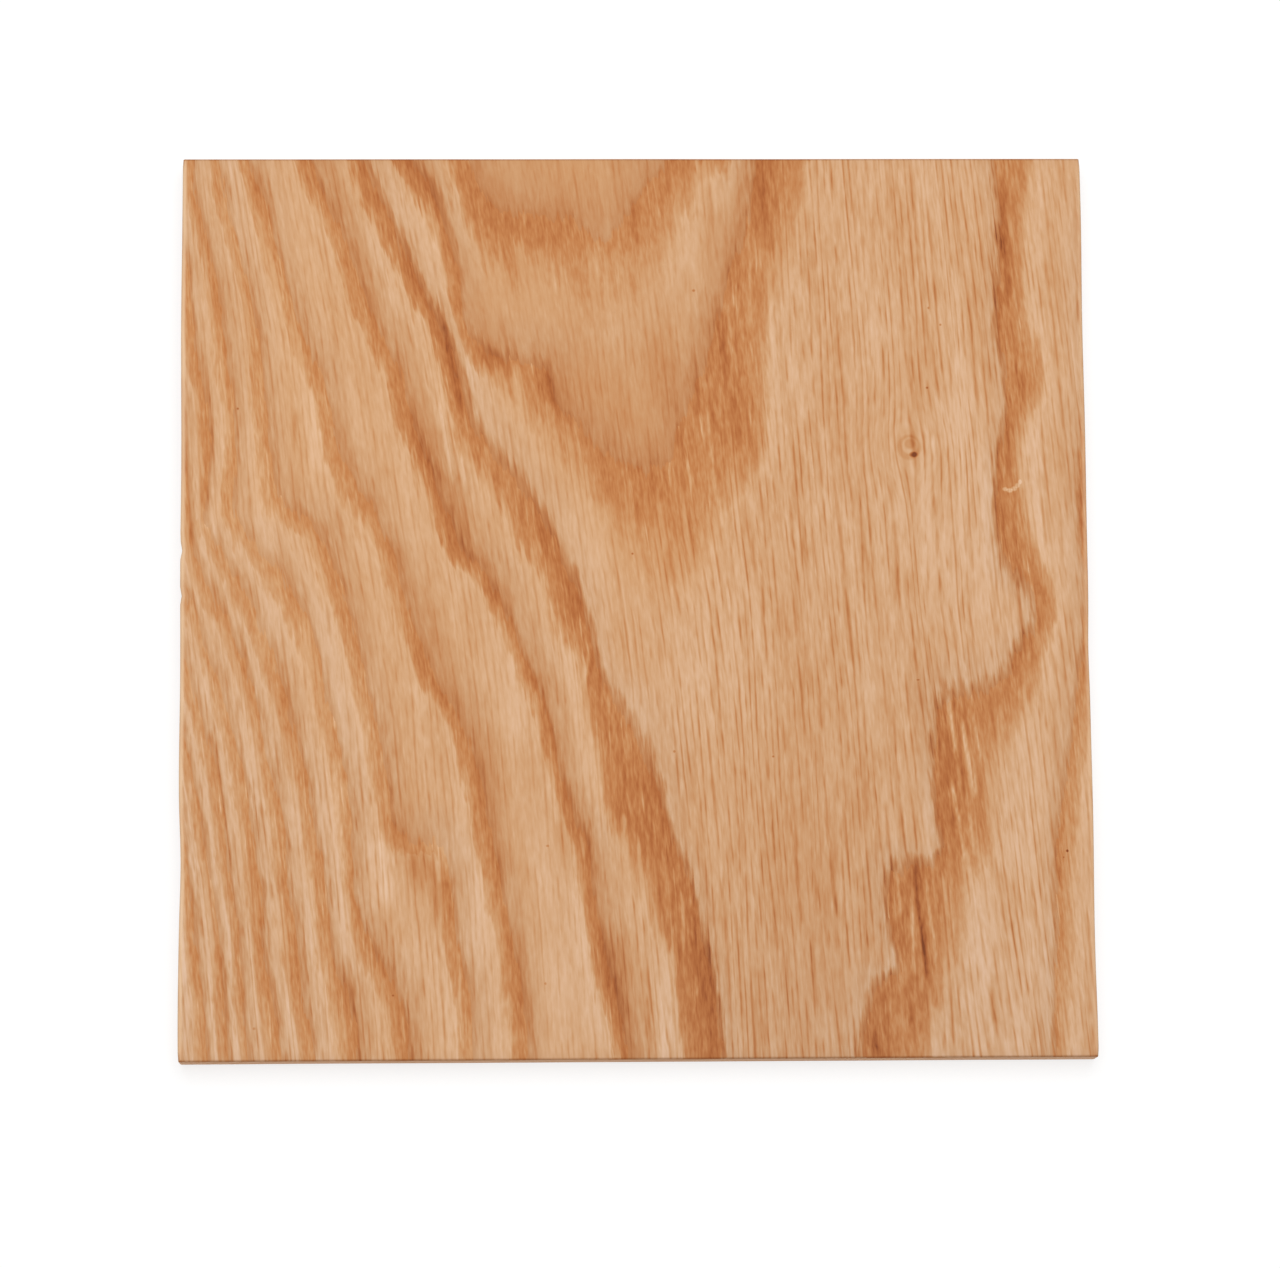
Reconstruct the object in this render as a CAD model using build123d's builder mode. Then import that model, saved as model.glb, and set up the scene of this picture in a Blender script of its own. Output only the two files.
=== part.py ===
from build123d import *
import os

# A square of solid ash board: flat-sawn, planed on both faces, sawn to size and
# hand-sanded, so that every arris is rounded. Millimetres.
# The origin is the middle of the underside. X runs across the grain, Y along
# the grain, and Z up through the thickness to the show face.

# Driving sizes
side = 100.0  # both ways, from edge to edge
thickness = 4.0  # from the underside to the show face
corner_radius = 0.6  # the four upright corners, blunted by the sanding
face_arris = 0.5  # rounding round the show face, where it was sanded most
back_arris = 0.3  # lighter rounding round the underside

with BuildPart() as ash_square:
    with BuildSketch():
        RectangleRounded(side, side, corner_radius)
    extrude(amount=thickness)
    show_face = ash_square.faces().sort_by(Axis.Z)[-1]
    underside = ash_square.faces().sort_by(Axis.Z)[0]
    fillet(show_face.edges(), radius=face_arris)
    fillet(underside.edges(), radius=back_arris)

ash_square.part.label = "ash_square"

os.makedirs("parts", exist_ok=True)
export_step(ash_square.part, "parts/ash_square.step")
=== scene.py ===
import math
from types import SimpleNamespace

import bpy
import numpy as np
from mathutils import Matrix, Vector


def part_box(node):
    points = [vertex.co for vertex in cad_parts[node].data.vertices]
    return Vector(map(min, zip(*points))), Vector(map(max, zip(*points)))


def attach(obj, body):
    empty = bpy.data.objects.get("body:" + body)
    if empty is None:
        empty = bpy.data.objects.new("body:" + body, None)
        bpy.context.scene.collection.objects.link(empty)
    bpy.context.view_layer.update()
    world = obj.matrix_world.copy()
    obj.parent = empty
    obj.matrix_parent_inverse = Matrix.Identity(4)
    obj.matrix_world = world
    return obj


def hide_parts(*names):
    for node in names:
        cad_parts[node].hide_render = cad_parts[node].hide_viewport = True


# A square of flat-sawn ash board, seen from almost straight above on a white ground.
# The figure of the board is worked out in millimetres on the show face, X across the
# grain and Y along it, from its middle, and carried down through the thickness, so that
# the face, the edges, the end grain and the underside are all cut from the same board.

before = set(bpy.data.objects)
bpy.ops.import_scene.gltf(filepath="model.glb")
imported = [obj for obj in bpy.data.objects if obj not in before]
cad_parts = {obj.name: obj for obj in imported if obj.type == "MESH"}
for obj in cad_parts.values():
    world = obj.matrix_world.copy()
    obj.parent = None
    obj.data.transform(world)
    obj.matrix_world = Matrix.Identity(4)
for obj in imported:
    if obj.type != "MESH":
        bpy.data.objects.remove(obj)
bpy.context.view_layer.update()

MM = 0.001
NODE = "ash_square"
BODY = "root"

low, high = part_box(NODE)
HALF_X = (high.x - low.x) / 2 / MM
HALF_Y = (high.y - low.y) / 2 / MM
TOP = high.z / MM

# Sizes of the board's edges, millimetres
CORNER_RADIUS = 0.25
FACE_ARRIS = 0.3
BACK_ARRIS = 0.3

# Mesh density: the columns are close together because the grain's lines are narrow
COLUMNS = 720
ROWS = 100
BACK_STEP = 4  # the underside has one column and row to this many of the show face
BACK_INSET = 1.0  # how far inside its arris the underside's grid starts, millimetres
ARRIS_STEPS = 5
WALL_STEPS = 4
BACK_ARRIS_STEPS = 3

# Growth

# Each growth boundary as it runs over the show face: level, late share, reach, then the x,
# y and strength of each point. The level counts the rings outwards from the cathedral. The
# strength says how dark the early wood just outside the boundary is, with 100 for a full
# orange-brown band. The late share says how far the late wood just inside it darkens
# towards it, and the reach is the part of a ring that the early wood takes up.
BOUNDARIES = {
    "inner_cathedral": (0, 0.75, 0.3, [
        -18.2, 50, 80, -17.3, 47, 80, -16, 45, 85, -13.5, 44, 85, -10, 43.8, 80, -7, 43, 75,
        -5, 41.3, 65, -3.8, 40.4, 65, -2.6, 41.3, 70, -1, 43, 80, 0.2, 45.2, 80, 1.6, 47, 75,
        3.2, 48.7, 80, 4.2, 50, 80,
    ]),
    "outer_cathedral": (1, 0.8, 0.3, [
        -24.5, 50, 110, -22.3, 46.5, 115, -21, 43.5, 100, -20, 40, 95, -19.2, 36, 80, -18.6, 32, 85,
        -17.2, 29, 100, -15.2, 27.4, 110, -12, 26.8, 75, -10, 26, 90, -9, 24, 110, -8.3, 21.6, 90,
        -6, 19.6, 85, -3.5, 17.2, 85, -1, 15.7, 90, 1.8, 15, 95, 3.8, 16, 95, 4.9, 19.5, 85,
        6.3, 23, 85, 8, 27, 90, 9.2, 31, 90, 10.5, 35.5, 80, 12, 40.5, 80, 13.2, 45, 120,
        13.6, 50, 115,
    ]),
    "left_2": (2, 0.15, 0.3, [
        -30, 50, 100, -28, 45.5, 110, -26, 41, 110, -24.2, 37, 115, -22, 32.8, 120, -20.4, 29, 120,
        -19.6, 25.2, 120, -18.6, 21.5, 100, -17, 18.5, 95, -14.8, 15.5, 90, -12.6, 12.8, 95,
        -10.8, 10, 105, -9, 6.4, 110, -7.2, 3.4, 115, -6, 0.5, 120, -5, -3, 120, -4.3, -6, 115,
        -3.4, -9, 100, -1.6, -12, 100, 0, -14.5, 105, 1.4, -18, 110, 2.8, -21.5, 120,
        3.6, -25.5, 120, 5, -29, 105, 6.3, -33, 110, 7, -37, 115, 7.9, -41, 120, 8.6, -45, 125,
        9.1, -50, 120,
    ]),
    "right_2": (2, 0.1, 0.3, [
        40.4, 50, 70, 40.8, 45, 100, 40.9, 40, 110, 40.5, 35, 100, 40.5, 30, 95, 41.2, 26.5, 95,
        41.4, 22.5, 95, 40.7, 18.5, 95, 40, 14, 100, 40.1, 9, 100, 40.6, 5.4, 100, 42.2, 3.4, 100,
        43.4, 1.4, 100, 44, -1.4, 100, 43, -4, 90, 41.6, -6.1, 100, 40.4, -8.7, 90, 37.5, -10, 90,
        34.8, -10.6, 95, 33.1, -12, 95, 32.6, -15.4, 100, 32.5, -20, 105, 32.8, -24.2, 105,
        33.5, -27.2, 105, 32, -28.8, 100, 29, -29.4, 110, 27.4, -30.8, 120, 27.2, -33.7, 115,
        27.7, -36.4, 115, 28.4, -39.4, 115, 27.8, -41.3, 100, 26.1, -41.9, 100, 25.3, -43.4, 120,
        24.7, -46.2, 120, 24, -50, 120,
    ]),
    "left_3": (3, 0.9, 0.3, [
        -35.8, 50, 90, -34.7, 47, 90, -33.2, 44, 85, -31.8, 41, 70, -30.9, 38, 75, -30, 35, 80,
        -28.8, 32, 75, -27.3, 29, 75, -26, 26, 75, -25.1, 23, 85, -24.2, 20, 110, -23, 17, 120,
        -21.8, 13.5, 110, -20.6, 10.2, 105, -19.6, 7, 110, -18.4, 5.2, 100, -16.4, 3.8, 90,
        -15.2, 1.4, 110, -14.1, -1.2, 95, -12.8, -4, 90, -11.5, -7, 85, -10.4, -9.6, 85,
        -9.5, -13, 100, -8.8, -16.5, 85, -7.9, -20, 85, -7, -23, 95, -5.6, -25.6, 110,
        -5, -28.5, 110, -4.8, -31.5, 105, -4.1, -35, 105, -3.4, -39, 120, -2.6, -42.6, 120,
        -1.8, -46.4, 110, -1, -50, 100,
    ]),
    "left_4": (4, 0.9, 0.3, [
        -42.6, 50, 60, -41.3, 47, 75, -40.2, 43.5, 70, -39.5, 40, 60, -38.6, 37, 60,
        -37.7, 33.5, 60, -36.4, 30, 65, -35, 27, 70, -33.9, 23.8, 80, -33, 20, 75, -32.2, 16.5, 70,
        -30.6, 13.6, 70, -29, 11, 85, -27.6, 7.6, 70, -26.3, 5, 75, -25.4, 1.6, 65, -24.5, -1.4, 75,
        -23.2, -5, 75, -21.6, -8.8, 75, -19.9, -11.4, 75, -18.4, -15, 85, -17.2, -19, 95,
        -16.4, -23, 85, -15.6, -27, 95, -14.8, -31, 85, -14, -35, 80, -13.2, -39, 85,
        -12.5, -43, 95, -12.1, -47, 85, -12, -50, 85,
    ]),
    "left_5": (5, 0.7, 0.3, [
        -46, 50, 60, -45.3, 47, 65, -44.5, 43, 50, -43.6, 39.5, 55, -42.6, 36, 55, -41.8, 32, 65,
        -41.2, 28.5, 60, -40.7, 24, 55, -40.2, 20, 70, -39.7, 15.5, 70, -39, 12, 55, -37, 9.8, 50,
        -34.6, 8, 65, -33.4, 5, 60, -32.2, 1.5, 65, -31.2, -1.6, 70, -30.2, -5, 70, -29.4, -9, 65,
        -28.4, -13, 65, -27.6, -17, 60, -27, -21, 65, -26.8, -24, 45, -25, -25.7, 20,
        -22.4, -26.2, 10, -20.7, -27.4, 20, -20.3, -30, 45, -20.1, -33, 70, -19.9, -36.5, 75,
        -19, -40, 90, -18.3, -43.5, 85, -18, -47, 75, -18, -50, 75,
    ]),
    "left_6": (6, 0.8, 0.34, [
        -48.9, 50, 60, -48.5, 46, 50, -47.4, 42, 50, -46.3, 38, 50, -45.6, 34, 60, -45, 30, 65,
        -44.4, 26, 60, -44, 21, 60, -43.8, 16, 70, -43.9, 12, 70, -43.6, 9.4, 40, -41.6, 6.4, 35,
        -39.4, 4.2, 50, -37.6, 1.2, 55, -35.8, -2.4, 55, -34.4, -6.5, 60, -33.5, -11, 50,
        -32.3, -15.5, 60, -31.4, -20, 60, -30.9, -24, 60, -30.8, -28, 60, -30.9, -31, 65,
        -30, -35, 65, -28.6, -38.3, 70, -26.6, -41.2, 65, -25.3, -45, 85, -24.8, -50, 75,
    ]),
    "left_7": (7, 0.85, 0.4, [
        -49.3, 38, 65, -48.8, 32, 65, -48, 27, 60, -47.1, 22.5, 70, -46.8, 17, 70, -47.2, 12.5, 65,
        -47.4, 9.5, 40, -45.8, 6.4, 35, -43.7, 3.3, 50, -41.8, -0.2, 50, -40, -4, 50, -38.9, -8, 60,
        -37.8, -12, 60, -36.9, -16, 50, -35.8, -20, 60, -35.2, -24.5, 65, -34.2, -29, 70,
        -33.8, -34, 75, -33.2, -38.2, 60, -31.8, -42.6, 70, -30.8, -46.5, 65, -30.5, -50, 60,
    ]),
    "left_8": (8, 0.85, 0.4, [
        -50, 24, 70, -49.5, 17, 65, -49, 11, 70, -48.8, 6.5, 50, -47.2, 2.6, 50, -45.2, -1.4, 50,
        -43.4, -5, 60, -42.1, -8.8, 60, -41, -13, 55, -40, -17, 55, -39.1, -21, 55,
        -38.3, -25.5, 60, -38.1, -30, 65, -37.2, -34.5, 60, -36.8, -39, 65, -36.3, -43.5, 65,
        -35.3, -47, 65, -35, -50, 65,
    ]),
    "left_9": (9, 0.85, 0.4, [
        -49.8, 1.5, 50, -48, -1.8, 50, -46.8, -5, 55, -45.5, -8.5, 50, -44.4, -12.5, 45,
        -43.3, -17, 50, -42.3, -22, 60, -41.4, -27, 60, -40.8, -32, 65, -40.9, -36.5, 60,
        -40.1, -41, 70, -39.4, -45.5, 60, -38.4, -50, 60,
    ]),
    "left_10": (10, 0.85, 0.4, [
        -49, -6.5, 60, -47.8, -11, 60, -46.7, -15, 65, -45.6, -19.5, 60, -45, -24, 60,
        -44.5, -29, 65, -43.7, -34, 60, -43.2, -39, 60, -42.8, -44, 55, -42, -50, 55,
    ]),
    "left_11": (11, 0.85, 0.4, [
        -49.2, -15, 60, -48, -20, 60, -47.3, -25, 60, -46.4, -30, 60, -45.6, -35, 60, -45, -40, 70,
        -44.8, -45, 70, -44.3, -50, 70,
    ]),
    "left_12": (12, 0.85, 0.4, [
        -49.5, -24, 60, -48.8, -30, 65, -48.2, -35, 65, -47.7, -40, 60, -47.1, -45, 50,
        -46.8, -50, 50,
    ]),
    "right_3": (3, 0.35, 0.25, [
        50.3, 26, 50, 49.6, 18, 60, 49.2, 11, 85, 49.4, 5, 70, 49.7, 0, 60, 49.4, -5, 60,
        48.6, -9.5, 60, 47.9, -14, 65, 47, -19.5, 60, 46.2, -25, 55, 45.8, -31, 60, 45.7, -37, 60,
        45.3, -43, 70, 45, -50, 65,
    ]),
}

# Where the early wood ends over the wide rings, outside the boundary of this level
EARLY_END = 0.3
EARLY_ENDS = {
    "inner_cathedral": (0, [
        -20.6, 50, -20, 47.5, -18.6, 44, -17.4, 40.5, -15.5, 38, -12.5, 36.8, -9, 36.4, -6, 35.8,
        -3.5, 35, -1, 35.4, 1, 37.4, 2.6, 40, 4.4, 42.8, 6, 45.2, 7.6, 47.2, 9.4, 48.8, 11, 50,
    ]),
    "outer_cathedral": (1, [
        -26.8, 50, -24.4, 46.5, -22.8, 43.5, -21.4, 40, -20.5, 36, -20, 32, -19.2, 29.5, -18, 27,
        -16.5, 25.4, -14.5, 24, -12.5, 22, -10.5, 20, -9, 18, -7.5, 16, -5.5, 14, -4, 12.2,
        -2.5, 10.8, -1, 8, 0.6, 5.8, 2.5, 4.2, 4.5, 3.8, 6.5, 5, 8, 7.6, 9.5, 10.5, 11.5, 13,
        13.4, 15.6, 14.3, 18, 14.3, 22, 14.2, 26, 14.3, 30, 14.7, 33, 15.6, 36, 16.6, 40, 17.8, 45,
        19.2, 50,
    ]),
    "left_2": (2, [
        -31.5, 50, -29.6, 45, -27.8, 41, -26.2, 38, -24.8, 35, -23.3, 32, -22.3, 30, -21.4, 27,
        -20.9, 24, -20.5, 22, -19.8, 20, -19, 17, -17.5, 15, -15.3, 12, -13.8, 10, -12.5, 7,
        -11.8, 5, -10.2, 3, -9, 0, -8.3, -3, -7.2, -5, -6.1, -7, -5.6, -10, -5.2, -12, -4.6, -15,
        -4, -18, -3.8, -20, -3.3, -23, -2.3, -25, -0.8, -27, 0.5, -30, 1.6, -33, 2.4, -35, 3.4, -37,
        4, -40, 4.4, -43, 4.8, -46, 5.2, -50,
    ]),
    "right_2": (2, [
        44.4, 50, 43.7, 47, 43, 43, 43.2, 39, 43, 35, 43.2, 31, 44.4, 28, 45.1, 25, 44.5, 22.5,
        43.2, 20, 42.6, 17.5, 42.4, 14.5, 42.8, 11.5, 43.4, 8.5, 44.1, 6, 45, 3, 45.8, 0,
        45.7, -2.5, 44.8, -5.5, 43.8, -8, 42.8, -10.5, 41.2, -13, 39.2, -15.5, 38, -18, 37.8, -21,
        37.8, -24, 37.9, -27, 36.6, -29.8, 35.2, -31.8, 34.6, -34.5, 33.9, -37.5, 33.1, -40.5,
        32.3, -43.5, 31.5, -46.5, 31, -50,
    ]),
    "right_3": (3, [
        50.6, -6, 49.9, -12, 49.2, -17, 48.5, -22, 47.7, -27, 47.3, -32, 47.4, -37, 47.6, -41,
        47, -45, 46.6, -50,
    ]),
}

# How dark the pale wood is in the middle of each ring: 0 for the palest, 1 for the darkest
RING_TONES = ((-0.5, 0.34), (0.3, 0.325), (0.7, 0.34), (1.5, 0.285), (2.6, 0.29),
              (3.5, 0.295), (7, 0.265), (12.5, 0.245))

BOUNDARY_STEP = 3.0  # points are put in along a boundary at this spacing, millimetres
RING_SMOOTHING = 0.5
RINGS_PER_MM_DOWN = 0.3  # how fast the rings pass on the way down through the board
SHOULDER = 0.95  # how far inside a boundary its darkness comes on, millimetres
FADE = 0.65  # half of how far the early wood takes to end, millimetres
WIDEST_FADE = 0.1  # the same, as the part of a ring that it may take up
SOFT_ENDS = (  # (x, y, reach, times) where it takes longer to end than elsewhere
    (3, 8, 6, 2.4),
    (-10, 36, 7, 1.8),
    (1, 38, 5, 1.8),
    (-9, 18, 6, 1.6),
    (17, 42, 5, 1.2),
    (42, 44, 4, 0.8),
    (39, -18, 7, 0.9),
    (35, -36, 8, 0.9),
    (0, -30, 8, 0.7),
)
NEXT_BAND = (0.45, 0.65)  # the parts of a ring between which the next band takes over
CROWDED_GAIN = 0.2  # how much stronger the bands are where the rings are close together
CROWDED_LEVELS = (4, 8)  # where that comes on
WIDEST_EARLY = 1.5  # how wide the early wood gets where its end isn't drawn, millimetres
DRAWN_LEVELS = 3  # how many levels have it drawn
WOBBLE = 0.14  # how far the fibres pull a boundary about, millimetres
ALONG = 2.6  # all of these are this many times longer along the fibre
PLAIN_BAND = (0.6, 0.3, 0.7)  # of a ring that doesn't come up to the show face
BAND_FLOOR = 1e-4  # how soon the plain band takes over away from a boundary
SLOPE_STEP = 0.05  # the rings' slope is taken over this distance, millimetres
LEAST_PACE = 0.015  # the slowest that the rings are taken to pass, rings a millimetre

# The streaks are at full strength on the right, at half on the left and in the first ring,
# a little weaker at the right edge and stronger in the near left corner. Each of these
# changes comes on between two places or rings.
STREAKS_ACROSS = (-12, 10)
STREAKS_RING = (0.75, 1.4)
STREAKS_LEAST = 0.5
STREAKS_RIGHT = (42, 46)
STREAKS_RIGHT_LOSS = 0.2
STREAKS_NEAR = (5, 25)
STREAKS_LEFT = (15, 30)
STREAKS_CORNER_GAIN = 0.35

# Fibre

# Lines that the fibres follow down the face: x where the line passes each of these
# heights. The line's place at the middle height names it.
FIBRE_HEIGHTS = (50, 30, 10, 0, -10, -30, -50)
FIBRE_LINES = (
    (-59.5, -57.8, -56.6, -55, -53.8, -51.6, -49.7),
    (-49.5, -47.8, -46.5, -45, -43.8, -41.6, -39.7),
    (-42.8, -39.4, -37.1, -35, -33.9, -32.2, -30.4),
    (-33.3, -29.5, -26.7, -25, -23.6, -21.8, -20.7),
    (-23.3, -19.7, -16.5, -15, -13.6, -12, -10.7),
    (-11.3, -8.7, -6.4, -5, -3.8, -2.6, -1),
    (-0.8, 1.5, 3.6, 5, 6.05, 7.85, 8.7),
    (11.7, 12.4, 14, 15, 15.7, 16.6, 17.9),
    (22.2, 23.4, 24.4, 25, 25.8, 27, 28),
    (31.7, 33.3, 34.6, 35, 36.05, 38.5, 40.9),
    (40, 42.1, 44, 45, 46, 47.6, 49.5),
    (50, 52.1, 54, 55, 56, 57.6, 59.5),
)

# The pin knot pushes the fibres apart
KNOT = (30.4, 17.2)
KNOT_PUSH = 0.8
KNOT_CORE = 1.4
KNOT_REACH = (4.0, 3.4)

# Marks

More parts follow.
